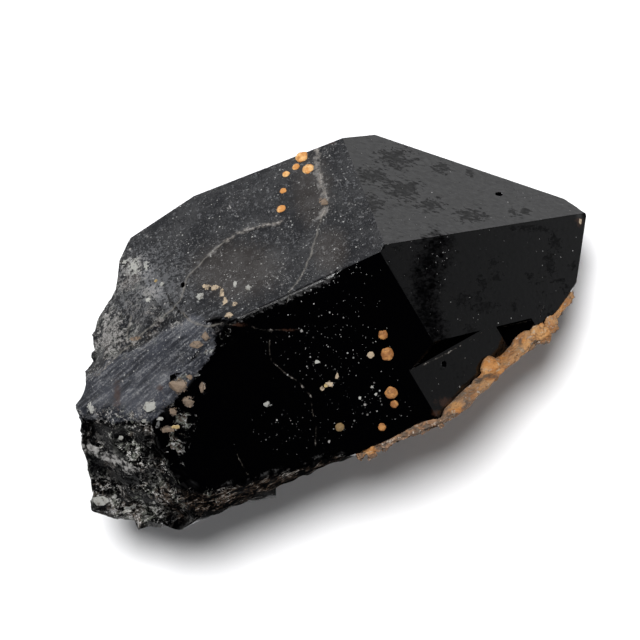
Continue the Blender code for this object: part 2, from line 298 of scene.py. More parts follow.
def patch_values(points, patches, depth_counts=0.8):
    """1 in the middle of a patch, 0 at its rim. A patch is a place in the picture and two half widths."""
    best = np.full(len(points), -1.0)
    across = np.array(look.transposed() @ Vector((1.0, 0.0, 0.0)))
    upward = np.array(look.transposed() @ Vector((0.0, 1.0, 0.0)))
    for x, y, half_wide, half_high in patches:
        gap = points - np.array(spot((x, y)))
        wide = (gap @ across) / (half_wide * MM_PER_PIXEL)
        high = (gap @ upward) / (half_high * MM_PER_PIXEL)
        deep = np.linalg.norm(gap, axis=1) / ((half_wide + half_high) * MM_PER_PIXEL)
        best = np.maximum(best, 1.0 - np.maximum(np.hypot(wide, high), deep * depth_counts))
    return np.clip(best, -1.0, 1.0)


# Marks of the crystal as they show in the picture: lines, and patches with their half widths
HEALED_CRACK = (
    (317, 148), (317, 165), (323, 189), (327, 199), (322, 216), (317, 232), (311, 254), (303, 273),
    (292, 289), (287, 301))
CRACK_ON_TOP = (
    (271, 334), (269, 345), (271, 361), (286, 374), (300, 383), (311, 397), (313, 412), (316, 425),
    (315, 445))
FLAKE_RIM = (
    (282, 222), (258, 227), (241, 232), (225, 242), (208, 256), (187, 278), (181, 302), (156, 323),
    (136, 339), (117, 356), (98, 375))
FLAKE_FOOT = ((184, 313), (191, 321), (200, 325), (211, 326), (221, 323))
THIN_LINE = ((131, 315), (127, 327), (126, 340))
TOP_CRACK = ((422, 366), (440, 357), (458, 347), (487, 329), (505, 326), (536, 318))
SIDE_CRACK = ((543, 307), (541, 312), (540, 317))
INNER_VEIN = ((236, 452), (241, 463), (248, 475))
CROSS_VEIN = ((228, 324), (245, 325), (260, 330), (280, 330), (296, 330))
BLACK_CRACKS = (
    SIDE_CRACK, ((183, 283), (179, 292), (180, 300)), ((318, 208), (308, 211), (298, 217)),
    ((252, 262), (262, 260), (272, 259)), ((262, 252), (270, 246), (278, 238)))
WHITE_GRAINS = (
    (134, 266, 10, 16), (146, 266, 6, 7), (124, 262, 6, 8), (101, 502, 11, 7), (133, 511, 6, 3),
    (200, 297, 6, 6), (249, 288, 4, 7), (235, 283, 2, 6), (162, 284, 4, 4), (148, 300, 5, 3),
    (90, 408, 5, 9), (150, 406, 10, 7), (146, 420, 7, 7), (126, 512, 8, 4), (306, 176, 2, 5),
    (266, 404, 6, 4))
CREAM_GRAINS = (
    (206, 287, 5, 4), (216, 287, 6, 3), (222, 293, 3, 6), (225, 301, 3, 6), (235, 304, 3, 3),
    (229, 315, 5, 4), (214, 288, 4, 3), (330, 384, 6, 4), (337, 376, 2, 5))
TAN_GRAINS = (
    (179, 386, 12, 11), (188, 401, 8, 8), (173, 411, 7, 7), (203, 387, 4, 8), (196, 345, 10, 4),
    (205, 336, 6, 6), (135, 338, 10, 3), (168, 429, 9, 4), (324, 202, 8, 6))
YELLOW_GRAINS = ((176, 427, 6, 3), (156, 281, 3, 2), (326, 386, 3, 3))
RUST_STAINS = (
    (580, 222, 5, 7), (446, 402, 16, 6), (331, 143, 5, 3), (160, 388, 5, 4), (287, 330, 14, 2),
    (240, 325, 10, 3), (117, 395, 5, 22), (540, 330, 10, 6), (436, 413, 8, 4))
ETCHED = (
    (395, 158, 26, 14), (372, 176, 24, 12), (402, 190, 26, 16), (440, 168, 14, 8), (370, 205, 18, 14),
    (430, 205, 18, 10), (470, 172, 7, 6), (360, 225, 12, 10), (512, 212, 6, 6), (524, 212, 10, 6),
    (470, 215, 22, 10), (555, 243, 9, 11), (550, 262, 8, 14), (552, 272, 6, 6), (572, 265, 6, 6),
    (530, 276, 6, 5), (494, 263, 6, 8), (482, 284, 6, 12), (497, 277, 8, 6), (462, 300, 14, 8),
    (485, 307, 18, 8), (478, 300, 5, 12), (566, 289, 7, 6), (514, 306, 3, 9), (470, 330, 8, 8),
    (530, 228, 34, 4), (560, 281, 12, 3), (397, 250, 6, 4))
# The dark band down the glassy tip is a painted dark reflection, not a mark in the stone
DARK_REFLECTION_BAND = ((437, 242), (431, 262), (424, 290), (426, 310), (434, 332))
DEEP_PITS = ((444, 364, 2.4, 2.8), (499, 194, 4, 2), (183, 285, 2, 3))
WORN_EDGE = ((384, 247), (350, 264), (318, 280), (280, 299), (241, 318), (222, 330), (205, 345))
TOP_END = ((222, 330), (205, 350), (185, 372), (165, 405), (152, 430), (162, 465), (182, 492), (205, 506))
BREAK_END = ((74, 419), (100, 418), (125, 419), (152, 421))
TIP_CORNER = ((583, 210, 6, 8),)
MOTTLED_TOP = ((170, 445, 34, 42), (205, 500, 50, 22), (160, 480, 34, 40), (182, 420, 26, 26))
DARK_POCKETS = (
    (118, 437, 9, 9), (124, 477, 20, 15), (95, 468, 7, 15), (152, 456, 14, 9), (165, 436, 14, 6),
    (172, 508, 9, 6), (142, 440, 6, 6), (88, 420, 5, 8))
CHIPPED_FOOT = ((180, 500), (205, 506), (230, 500), (262, 492), (290, 484), (318, 474), (340, 466))
ROOT_BAND = ((80, 448), (96, 455), (112, 462), (128, 470))
RIBS_FROM = (132, 448)
SHELL_RIBS = ((122.5, 474.0, 22.5, 22.0),)
LOW_LEFT_RIM = ((135, 532), (165, 530), (195, 524), (215, 516))
MOTTLED_BACK = ((134, 266, 26, 20), (150, 292, 18, 12), (110, 330, 24, 36))
WARM_GREY = ((235, 270, 60, 40), (312, 190, 26, 50), (330, 250, 24, 30), (117, 392, 9, 26))
PALE_BACK = ((150, 285, 66, 56),)
SPECKLED = (
    (300, 225, 40, 40), (290, 280, 60, 40), (345, 265, 40, 30), (330, 345, 70, 60), (370, 400, 50, 40),
    (240, 300, 40, 20), (300, 430, 60, 30), (440, 255, 30, 16))

SCAR_MIDDLE = (-0.5, 21.6)
SCAR_HALF = (15.5, 7.5)
STEP_STARTS = 6.0
STEP_DEPTH = 3.9
RIB_SPACING = 1.15
coarser = 1.0


def crystal_edge(middle):
    """Fine triangles in the root, finer ones along the worn edge and round the pits."""
    edge = np.where(middle[:, 0] < ROOT_STARTS, ROOT_TRIANGLE, PLAIN_TRIANGLE)
    edge = np.where(near_line(middle, WORN_EDGE) < 0.5, WORN_TRIANGLE, edge)
    for x, y, _, _ in DEEP_PITS:
        edge = np.where(np.linalg.norm(middle - np.array(spot((x, y))), axis=1) < 0.9, PIT_TRIANGLE, edge)
    return edge * coarser


points, corners = fine_skin("quartz_point", crystal_edge)
normals = skin_normals(points, corners)
depths = np.sort([under(points, face) for face in GROWN_FACES], axis=0)
near_face = smooth(0.3, 0.0, depths[0])
root = smooth(0.02, 1.4, depths[0]) * smooth(ROOT_STARTS + 4.0, ROOT_STARTS - 6.0, points[:, 0])
smooth_break = smooth(1.6, 0.1, np.abs(under(points, SMOOTH_BREAK))) * smooth(-10.0, -16.0, points[:, 0])
calm_side = smooth(8.0, 14.0, points[:, 1])
hackle = root * (1.0 - 0.85 * smooth_break) * (1.0 - 0.65 * calm_side)

# Low domes of the solid are flattened here: the ochre buttons below take their place
for face in (TOP, BACK):
    lifted = np.clip(-under(points, face), 0.0, 0.8) * (points[:, 0] > -30.0)
    points = points - lifted[:, None] * np.array(face_normal(face))
scar_depth = under(points, BACK)
from_middle = np.linalg.norm((points[:, :2] - SCAR_MIDDLE) / SCAR_HALF, axis=1)
in_scar = (from_middle < 1.15) & (scar_depth < 0.7) & (scar_depth > 0.0)
points = points + (scar_depth * 0.6 * in_scar)[:, None] * np.array(face_normal(BACK))

# Relief of the root, of its borders with the grown faces and of the worn edge, in millimetres
carve = hackle * (1.15 * bowls(points, 5.6, 1.0) + 0.26 * bowls(points, 2.3, 2.0))
carve += hackle * 0.06 * (clouds(points, 0.9, 3.0) - 1.0)
border = smooth(3.6, 0.3, near_line(points, TOP_END))
carve += border * 1.3 * bowls(points, 3.4, 7.0)
border_low = smooth(3.2, 0.3, near_line(points, BREAK_END))
carve += border_low * 1.1 * bowls(points, 3.0, 17.0)
worn = smooth(0.5, 0.0, near_line(points, WORN_EDGE))
nicks = smooth(0.5, 0.0, depths[1]) * near_face * smooth(0.58, 0.85, clouds(points, 1.3, 4.0))
carve -= nicks * (0.05 + 0.20 * worn)
carve -= 0.10 * smooth(0.0, 0.8, patch_values(points, TIP_CORNER))
carve -= 0.9 * smooth(6.0, 1.0, near_line(points, LOW_LEFT_RIM)) * root

# The chipped foot of the top face, the step along the flake's rim, pits and shell ribs
foot_gap = near_line(points, CHIPPED_FOOT)
below_top = smooth(0.8, 2.0, under(points, TOP)) * smooth(6.0, 0.0, points[:, 0])
below_top = below_top * smooth(5.5, 3.5, near_drawing(points, CHIPPED_FOOT))
below_top = below_top * smooth(11.0, 2.0, foot_gap + 3.0 * clouds(points, 3.0, 27.0))
foot = np.maximum(smooth(4.0, 0.8, foot_gap), below_top)
carve += foot * (0.55 * bowls(points, 2.6, 6.0) + 0.25 * bowls(points, 1.3, 16.0))
carve += 0.16 * smooth(0.8, 0.0, near_line(points, FLAKE_RIM)) * (1.0 - hackle)
pits = patch_values(points, DEEP_PITS)
carve -= 0.6 * smooth(0.0, 0.5, pits)
ring = np.linalg.norm(points - np.array(spot(RIBS_FROM)), axis=1)
ribbed = smooth(0.0, 0.4, patch_values(points, SHELL_RIBS))
carve += ribbed * 0.22 * (np.cos(ring * 2.0 * math.pi / RIB_SPACING) - 1.0)
pale = patch_values(points, WHITE_GRAINS + CREAM_GRAINS + TAN_GRAINS)
pale = smooth(0.0, 0.5, pale + 0.4 * clouds(points, 1.0, 8.0))
carve += pale * (0.05 + 0.10 * clouds(points, 0.7, 9.0))
shaped = points + normals * carve[:, None]

# The broken root is worn a little: each point there moves halfway towards its neighbours, twice
pairs = np.vstack([corners[:, [0, 1]], corners[:, [1, 2]], corners[:, [2, 0]]])
pairs = np.vstack([pairs, pairs[:, ::-1]])
neighbours = np.bincount(pairs[:, 0], minlength=len(points)).astype(float)[:, None]
for _ in range(2):
    beside = np.zeros_like(shaped)
    for axis in range(3):
        beside[:, axis] = np.bincount(pairs[:, 0], weights=shaped[pairs[:, 1], axis], minlength=len(points))
    shaped = shaped + (beside / neighbours - shaped) * (0.5 * np.maximum(hackle, foot * 0.5))[:, None]
crystal = piece_from(shaped, corners, "crystal", 34.0)
keep_in_box(crystal, "quartz_point")

# What the finish needs to know at every point of the crystal
borders = np.maximum(border, border_low)
edges = smooth(0.45, 0.0, depths[1]) * near_face * (0.25 + 0.75 * worn)
mottled_top = np.maximum(np.maximum(patch_values(points, MOTTLED_TOP), 0.0), borders * 0.8)
# Painted dark reflection: how near each point lies to the dark band drawn down the tip
dark_reflection_band = smooth(7.0, 0.0, near_line(points, DARK_REFLECTION_BAND))
root_band = smooth(2.4, 0.2, near_line(points, ROOT_BAND))
haloed = smooth(2.2, 0.0, near_line(points, HEALED_CRACK[:5]))
haloed = haloed + 0.8 * smooth(1.6, 0.0, near_line(points, FLAKE_RIM[:5]))
for name, values in (("root", root), ("hackle", hackle), ("smooth_break", smooth_break), ("edges", edges),
                     ("calm", calm_side * root), ("mottled_top", mottled_top), ("foot", foot), ("pits", pits),
                     ("border", np.maximum(borders, foot)), ("dark_reflection_band", dark_reflection_band), ("root_band", root_band),
                     ("haloed", haloed)):
    field(crystal, name, values)
for name, patches in (("pockets", DARK_POCKETS), ("warm", WARM_GREY), ("mottled", MOTTLED_BACK),
                      ("pale_back", PALE_BACK), ("speckled", SPECKLED)):
    field(crystal, name, np.maximum(patch_values(points, patches), 0.0))
for name, patches in (("white", WHITE_GRAINS), ("cream", CREAM_GRAINS), ("tan", TAN_GRAINS),
                      ("yellow", YELLOW_GRAINS), ("rust", RUST_STAINS), ("etched", ETCHED)):
    field(crystal, name, patch_values(points, patches))
line_field(crystal, "vein", points, normals, (HEALED_CRACK[:5], FLAKE_RIM[:4]), 2.2)
line_field(crystal, "scar", points, normals, (HEALED_CRACK[4:], FLAKE_RIM[3:], FLAKE_FOOT, THIN_LINE))
line_field(crystal, "dim", points, normals, (CRACK_ON_TOP, INNER_VEIN, CROSS_VEIN, TOP_CRACK))
line_field(crystal, "black", points, normals, BLACK_CRACKS)

# Which face each small triangle belongs to
count = len(crystal.data.polygons)
facing = np.zeros(count * 3)
crystal.data.polygons.foreach_get("normal", facing)
facing = facing.reshape(-1, 3) @ np.array(laid_down.to_3x3())
middles = np.array([tuple(table_to_stone @ polygon.center) for polygon in crystal.data.polygons])
sort = np.full(count, "on_rough", dtype=object)


def lies_on(face, slack=0.45, aim=0.97):
    return (np.abs(under(middles, face)) < slack) & (facing @ np.array(face_normal(face)) > aim)


below_grown = np.min([under(middles, face) for face in GROWN_FACES], axis=0)
sort[(middles[:, 0] > STEP_STARTS) & (below_grown > 0.6)] = "in_step"
for face in PRISM_FACES:
    sort[lies_on(face)] = "on_side"
for face in TIP_FACES:
    sort[lies_on(face)] = "on_tip"
sort[lies_on(TOP)] = "on_top"
sort[lies_on(BACK, 0.7, 0.9)] = "on_back"
sort[lies_on(SMOOTH_BREAK, 0.6, 0.9)] = "on_break"
sort[lies_on(TIP_BACK)] = "on_bright_tip"
step_floor = (TIP_TOP[0], TIP_TOP[1], TIP_TOP[2] - STEP_DEPTH)
sort[lies_on(step_floor) & (middles[:, 0] > 10.0)] = "on_tip"
for name in ("on_rough", "on_top", "on_back", "on_tip", "on_side", "in_step", "on_bright_tip"):
    layer = crystal.data.attributes.new(name, "FLOAT", "FACE")
    layer.data.foreach_set("value", (sort == name).astype(np.float32))


class Tone:
    """One value of a finish. Sums and products of tones become the finish's own maths."""

    def __init__(self, finish, socket):
        self.finish = finish
        self.socket = socket

    def math(self, operation, first, second=None):
        sockets = {0: first} if second is None else {0: first, 1: second}
        return self.finish.node("ShaderNodeMath", {"operation": operation}, sockets)

    def __add__(self, other):
        return self.math("ADD", self, other)

    def __sub__(self, other):
        return self.math("SUBTRACT", self, other)

    def __mul__(self, other):
        return self.math("MULTIPLY", self, other)

    __radd__ = __add__
    __rmul__ = __mul__

    def __rsub__(self, other):
        return self.math("SUBTRACT", other, self)

    def __abs__(self):
        return self.math("ABSOLUTE", self)

    def most(self, other):
        return self.math("MAXIMUM", self, other)

    def least(self, other):
        return self.math("MINIMUM", self, other)

    def step(self, low, high):
        """0 below low, 1 above high, soft between. With low above high it runs the other way."""
        swapped = low > high
        bounds = (high, low) if swapped else (low, high)
        sockets = {0: self, 1: bounds[0], 2: bounds[1], 3: 0.0, 4: 1.0}
        soft = self.finish.node("ShaderNodeMapRange", {"interpolation_type": "SMOOTHSTEP"}, sockets)
        return 1.0 - soft if swapped else soft


class Finish:
    """A material for one kind of surface, built a node at a time."""

    def __init__(self, name):
        self.material = bpy.data.materials.new(name)
        self.material.use_nodes = True
        self.tree = self.material.node_tree
        self.tree.nodes.clear()
        self.place = None

    def node(self, kind, settings=None, sockets=None, output=0):
        made = self.tree.nodes.new(kind)
        for name, value in (settings or {}).items():
            setattr(made, name, value)
        for name, value in (sockets or {}).items():
            if isinstance(value, Tone):
                self.tree.links.new(value.socket, made.inputs[name])
            else:
                made.inputs[name].default_value = value
        return Tone(self, made.outputs[output])

    def in_stone(self):
        """Millimetres in the stone's own frame."""
        if self.place is None:
            where = self.node("ShaderNodeTexCoord", output="Object")
            turn = table_to_stone.to_3x3().normalized().to_euler("XYZ")
            self.place = self.node("ShaderNodeMapping", {"vector_type": "POINT"},
                                   {"Vector": where, "Location": tuple(table_to_stone.translation),
                                    "Rotation": tuple(turn), "Scale": (1000.0, 1000.0, 1000.0)})
        return self.place

    def stretched(self, sizes, seed, turn=None):
        """The stone's frame, turned if asked, in steps of one size or of three."""
        start = self.in_stone()
        if turn is not None:
            start = self.node("ShaderNodeVectorRotate", {"rotation_type": "EULER_XYZ"}, {0: start, 4: turn})
        steps = sizes if isinstance(sizes, tuple) else (sizes, sizes, sizes)
        scale = self.node("ShaderNodeVectorMath", {"operation": "DIVIDE"}, {0: start, 1: steps})
        shift = (seed, seed * 2.3, -seed)
        return self.node("ShaderNodeVectorMath", {"operation": "ADD"}, {0: scale, 1: shift})

    def cloud(self, sizes, seed, detail=2.0, rough=0.5, warp=0.0, turn=None):
        """Noise from 0 to 1 with an even middle of 0.5."""
        return self.node("ShaderNodeTexNoise", {"noise_dimensions": "3D"},
                         {"Vector": self.stretched(sizes, seed, turn), "Scale": 1.0, "Detail": detail,
                          "Roughness": rough, "Distortion": warp})

    def cells(self, size, seed, output="Distance"):
        return self.node("ShaderNodeTexVoronoi", {"feature": "F1", "voronoi_dimensions": "3D"},
                         {"Vector": self.stretched(size, seed), "Scale": 1.0, "Randomness": 1.0}, output)

    def specks(self, size, seed, share, radius):
        """Small dots: one cell in so many holds a dot, of its own width."""
        luck = self.node("ShaderNodeSeparateColor", None, {0: self.cells(size, seed, "Color")})
        chance = Tone(self, luck.socket.node.outputs[1])
        width = luck * radius
        return (width - self.cells(size, seed)).step(0.0, 0.08) * (share - chance).step(0.0, 0.02)

    def field(self, name):
        return self.node("ShaderNodeAttribute", {"attribute_name": name}, output="Fac")

    def blend(self, first, second, share):
        return self.node("ShaderNodeMix", {"data_type": "RGBA"}, {0: share, 6: first, 7: second}, 2)

    def coats(self, colour, coats):
        """Lays coat after coat over a colour. Each is its own colour and the share that it covers."""
        for tint, share in coats:
            colour = self.blend(colour, tint, share)
        return colour

    def bump(self, height):
        """Relief whose height is in millimetres."""
        return self.node("ShaderNodeBump", None, {"Height": height, "Distance": 0.001, "Strength": 1.0})

    def shader(self, colour, roughness, normal, ior=1.5, specular=0.5):
        return self.node("ShaderNodeBsdfPrincipled", None,
                         {"Base Color": colour, "Roughness": roughness, "Normal": normal,
                          "IOR": ior, "Specular IOR Level": specular})

    def cover(self, piece, shader):
        """Closes the finish with its shader and puts it on a piece."""
        end = self.tree.nodes.new("ShaderNodeOutputMaterial")
        self.tree.links.new(shader.socket, end.inputs["Surface"])
        piece.data.materials.append(self.material)


def grey(level, warm=0.0):
    return (level * (1.0 + warm), level, level * (1.0 - warm), 1.0)


BLACK_GLASS = (0.0002, 0.0002, 0.0003, 1.0)
# A bluish grey that stands in for the sheen of the smooth break: painted reflection
PAINTED_BLUE_SHEEN = (0.044, 0.047, 0.058, 1.0)
GREY_HAZE = (0.008, 0.0085, 0.010, 1.0)
FROST = (0.11, 0.112, 0.118, 1.0)
WARM_FROST = (0.034, 0.028, 0.024, 1.0)
FLAKE_GREY = grey(0.24, 0.02)
HALO_GREY = (0.15, 0.145, 0.14, 1.0)
MOTTLE_GREY = (0.085, 0.09, 0.076, 1.0)
MOTTLE_BROWN = (0.060, 0.047, 0.038, 1.0)
ROOT_SUGAR = grey(0.36, 0.03)
BACK_SUGAR = grey(0.20, 0.04)
TOP_SUGAR = grey(0.22)
FOOT_BROWN = (0.042, 0.029, 0.021, 1.0)
FOOT_WHITE = grey(0.15, 0.06)
WORN_WHITE = grey(0.26, 0.03)
VEIN_PALE = (0.145, 0.125, 0.105, 1.0)
VEIN_CORE = grey(0.26, 0.04)
SCAR_PALE = (0.15, 0.14, 0.125, 1.0)
DIM_VEIN = (0.045, 0.040, 0.034, 1.0)
DIM_SPARKS = grey(0.2, 0.08)
GRAIN_WHITE = (0.28, 0.28, 0.26, 1.0)
GRAIN_CREAM = (0.34, 0.27, 0.19, 1.0)
GRAIN_TAN = (0.165, 0.12, 0.085, 1.0)
GRAIN_YELLOW = (0.33, 0.24, 0.10, 1.0)
RUST = (0.035, 0.016, 0.010, 1.0)
DUST_WHITE = (0.34, 0.34, 0.33, 1.0)
DUST_GREY = grey(0.20, 0.04)
QUARTZ_IOR = 1.544

morion = Finish("morion")
mark = morion.field
cloud = morion.cloud
root_share = mark("root")
hackly = mark("hackle")
on_top = mark("on_top")
on_back = mark("on_back")
on_bright_tip = mark("on_bright_tip")
on_tip = mark("on_tip").most(on_bright_tip)
mottled = mark("mottled")
calm = mark("calm")
broad_cloud = cloud(6.0, 1.0, 3.0)
fine_cloud = cloud(0.9, 2.0, 4.0, 0.6)
grit_cloud = cloud(0.32, 3.0, 2.0)
torn_cloud = cloud(1.5, 21.0, 5.0, 0.75, 1.0)
fine = fine_cloud - 0.5
torn = torn_cloud - 0.5
ragged = fine * 1.5 + (grit_cloud - 0.5) * 0.8 + torn * 1.2
striae = cloud((0.42, 9.0, 9.0), 19.0, 3.0, 0.6)
streaks = cloud((6.0, 0.8, 0.5), 4.0, 4.0, 0.65, 0.2, (0.0, 0.1, -0.35))

# Frost, flakes and a halo on the back, and on the smooth break a rough haze with a painted bluish sheen
frosted = on_back.most(calm)
frost = fine_cloud * 0.35 + grit_cloud * 0.30 + torn_cloud * 0.35 + striae * 0.12
frost = (frost + mark("pale_back") * 0.10).step(0.575, 0.67)
warm_share = (mark("warm") + torn_cloud - 0.5).step(0.0, 0.6)
flakes = cloud(1.1, 31.0, 5.0, 0.8, 1.5).step(0.585, 0.635)
flakes = flakes * cloud(5.0, 32.0, 2.0).step(0.46, 0.62)
halo = (mark("haloed") * 0.8 + torn * 2.2 + fine * 1.2).step(0.50, 0.90)
# Where the smooth break is hazy: its own roughness, frost and grit, and the share of painted sheen
break_haze_and_sheen = mark("smooth_break") * 1.1 - 0.1 + torn * 1.3 + fine * 0.5
break_haze_and_sheen = break_haze_and_sheen.step(0.30, 0.62)

# Grey and brown mottle with white sugary specks where the stone is hackly
mottle = (torn_cloud * 0.8 + fine_cloud * 0.2 + mottled * 0.10 + broad_cloud * 0.2 - 0.1).step(0.48, 0.58)
mottle_tone = morion.blend(MOTTLE_GREY, MOTTLE_BROWN, cloud(3.5, 6.0, 2.0).step(0.42, 0.58))
pockets = (mark("pockets") * 1.6 + torn * 1.2).step(0.15, 0.45)
rough_share = hackly.most(mark("on_rough") * root_share) * (1.0 - calm * 0.6) * (1.0 - pockets * 0.9)
patchy = cloud(4.5, 23.0, 2.0, 0.5, 0.8).step(0.40, 0.60)
bright = (cloud(0.8, 7.0, 4.0, 0.75, 1.2) * 0.6 + torn_cloud * 0.45).step(0.55, 0.61)
back_mottle = (mottled * 0.22 + torn_cloud * 0.7 + fine_cloud * 0.3).step(0.58, 0.68)
back_mottle = back_mottle * mottled.step(0.0, 0.3) * frosted
top_mottle = mark("mottled_top") * 0.38 + torn_cloud * 0.75 + fine_cloud * 0.2
top_mottle = top_mottle.step(0.72, 0.82) * on_top
top_tone = morion.blend(MOTTLE_BROWN, MOTTLE_GREY, fine_cloud.step(0.45, 0.55))

# The chipped foot of the top face: brown and white shards
foot_near = mark("foot") + torn * 1.6
foot_share = foot_near.step(0.55, 0.95)
foot_fringe = foot_near.step(0.25, 0.75)
shards = cloud((2.4, 0.6, 0.6), 9.0, 5.0, 0.75, 1.0)
band_share = (mark("root_band") + torn * 2.0).step(0.5, 0.8)

# Veins, scars and cracks
wander = (cloud(1.6, 10.0, 3.0) - 0.5) * 0.7


def drawn(name, width, soft, gaps, wobble=0.8):
    """A line of its own width and softness, which wanders and breaks off here and there."""
    gap = abs(mark(name + "_gap") + wander * wobble)
    worn_away = cloud(1.3, 11.0, 4.0, 0.7).step(gaps, gaps + 0.12)
    return (width - gap + fine * 0.5).step(0.0, soft) * mark(name + "_near") * worn_away


vein_patches = (fine_cloud * 0.4 + torn_cloud * 0.4 + grit_cloud * 0.2).step(0.455, 0.54)
vein = drawn("vein", 0.85, 1.5, 0.34, 1.2) * vein_patches
vein_core = drawn("vein", 0.20, 0.3, 0.46, 1.2)
scar = drawn("scar", 0.34, 0.5, 0.34, 1.1)
dim_vein = drawn("dim", 0.17, 0.28, 0.46, 0.9)
black_line = drawn("black", 0.10, 0.12, 0.40)

# Stains and powder of paler minerals round the grown-in grains, and pits
white = (mark("white") * 0.9 + ragged * 1.3).step(0.42, 0.60)
cream = (mark("cream") + ragged * 1.0).step(0.30, 0.50)
tan = (mark("tan") + ragged * 1.2).step(0.40, 0.60)
yellow = (mark("yellow") + ragged * 0.4).step(0.2, 0.4)
rust = (mark("rust") + ragged * 0.9).step(0.1, 0.7)
tan_tone = morion.blend(GRAIN_TAN, MOTTLE_BROWN, fine_cloud.step(0.5, 0.62))
white_tone = morion.blend(GRAIN_WHITE, grey(0.2), fine_cloud.step(0.52, 0.66))
worn_edge = mark("edges").step(0.1, 0.5)
pit_share = (mark("pits") + ragged * 1.0).step(0.25, 0.5)

# Dust and grit that catch the light on the faces
speckled = mark("speckled")
dense = speckled * 0.45 + frosted * 0.55 + break_haze_and_sheen * 0.30 + on_tip * 0.03 + hackly * 0.1 + 0.01
dust = morion.specks(0.62, 12.0, dense, 0.30).most(morion.specks(0.36, 13.0, dense, 0.30) * 0.6)
big_dust = morion.specks(1.7, 14.0, speckled * 0.42 + frosted * 0.12, 0.22) * torn_cloud.step(0.36, 0.52)

colour = morion.coats(BLACK_GLASS, (
    (GREY_HAZE, frosted * (broad_cloud + striae * 0.8)),
    (FROST, frosted * frost * (0.55 + mottled * 1.1)),
    (WARM_FROST, frosted * warm_share * 0.45),
    (FLAKE_GREY, frosted * flakes * 0.8),
    (HALO_GREY, halo * frosted * 0.7),
    # Painted sheen: bluish grey on the smooth break in place of the light it mirrors; the frost streaks next
    # are its own
    (PAINTED_BLUE_SHEEN, break_haze_and_sheen * (streaks * 0.8 + broad_cloud * 0.6).step(0.35, 1.0)),
    (FROST, break_haze_and_sheen * (streaks * 0.7 + grit_cloud * 0.4).step(0.54, 0.72)),
    (mottle_tone, rough_share * mottle * (0.15 + patchy * 0.85)),
    (ROOT_SUGAR, rough_share * bright * (0.10 + patchy * 0.9)),
    (BACK_SUGAR, back_mottle * (fine_cloud * 0.5 + grit_cloud * 0.5).step(0.40, 0.60) * 0.9),
    (top_tone, top_mottle * 0.8),
    (TOP_SUGAR, top_mottle * bright),
    (FOOT_BROWN, foot_share * shards.step(0.50, 0.60) * 0.9),
    (FOOT_WHITE, foot_fringe * shards.step(0.60, 0.64) * 0.9),
    (WORN_WHITE, band_share * 0.8 * fine_cloud.step(0.4, 0.6)),
    (VEIN_PALE, vein * 0.9),
    (VEIN_CORE, vein_core * 0.8),
    (SCAR_PALE, scar * 0.75),
    (DIM_VEIN, dim_vein),
    (DIM_SPARKS, dim_vein * fine_cloud.step(0.56, 0.66)),
    (tan_tone, tan),
    (white_tone, white),
    (GRAIN_CREAM, cream),
    (GRAIN_YELLOW, yellow),
    (RUST, rust * 0.55),
    (WORN_WHITE, (mark("edges") * 0.6 + ragged * 1.2).step(0.80, 1.10)),
    (DUST_WHITE, dust * cloud(1.4, 15.0, 3.0).step(0.30, 0.75)),
    (DUST_GREY, big_dust),
    (BLACK_GLASS, pit_share.most(black_line))))

# Etch marks on the glassy tip, a painted dark reflection down it, and where the rest of the stone is dull
flow = cloud((2.0, 0.55, 0.55), 16.0, 3.0, 0.6, 0.6, (0.0, 0.0, 0.25))
etched = (mark("etched") * 1.1 + (flow - 0.5) * 3.6 + fine * 0.6).step(0.34, 0.52)
etched = etched * mark("etched").step(-0.35, 0.05) * on_tip
faint_etch = on_tip * (flow + cloud(9.0, 17.0) * 0.5).step(0.92, 0.98) * 0.45
# Painted dark reflection: along the drawn band the tip turns dull and black, standing in for a dark
# reflection in the glass
dark_reflection_band = mark("dark_reflection_band") * 1.1 + (cloud(2.5, 18.0, 3.0) - 0.5) * 0.9 + (flow - 0.5) * 1.6
dark_reflection_band = dark_reflection_band.step(0.25, 1.25) * on_tip
pale_share = white.most(cream).most(tan).most(yellow).most(vein * 0.8).most(hackly * bright * 0.6)
dark_mottle = (torn_cloud * 0.6 + broad_cloud * 0.5 + striae * 0.15).step(0.48, 0.75)
dullness = etched * (0.58 - on_bright_tip * 0.28) + on_bright_tip * 0.28
for dull_share in (dark_reflection_band * 0.88, faint_etch, pit_share, black_line, mark("in_step"), top_mottle * 0.6,
                   worn_edge * 0.95, frosted * (0.20 + dark_mottle * 0.6), hackly * 0.35, calm * 0.75,
                   mark("on_rough") * 0.7, (mark("border") * 2.5).least(0.95)):
    dullness = dullness.most(dull_share)
dullness = dullness + on_tip * (flow * 0.6 + streaks * 0.4 - 0.5) * 0.9

roughness = 0.06 + on_back * 0.18 + break_haze_and_sheen * 0.26 + hackly * (0.12 + mottle * 0.25) + fine_cloud * 0.05
for rough_from in (pale_share * 0.7, dust * 0.6, etched * 0.3, foot_share * 0.4, worn_edge * 0.5):
    roughness = roughness.most(rough_from)

# Relief in millimetres: growth ridges across the long faces, grain, frost and raised veins
ripples = on_top.most(mark("on_side")).most(on_back)
relief = ripples * (striae * 0.020 + cloud((2.4, 26.0, 26.0), 20.0, 2.0) * 0.05)
relief = relief + fine_cloud * (0.006 + hackly * 0.10 + foot_share * 0.14 + on_back * 0.03)
relief = relief + grit_cloud * (0.002 + hackly * 0.03 + pale_share * 0.08 + break_haze_and_sheen * 0.012)
relief = relief + break_haze_and_sheen * streaks * 0.05 + vein * 0.07 - black_line * 0.2 + dust * 0.04 + scar * 0.05
normal = morion.bump(relief)

glassy = morion.shader(colour, roughness, normal, QUARTZ_IOR)
dull = morion.shader(colour, 0.6, normal, 1.0, 0.0)
mixed = morion.node("ShaderNodeMixShader", None, {0: dullness, 1: glassy, 2: dull})
morion.cover(crystal, mixed)
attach(crystal, "root")
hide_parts("quartz_point")

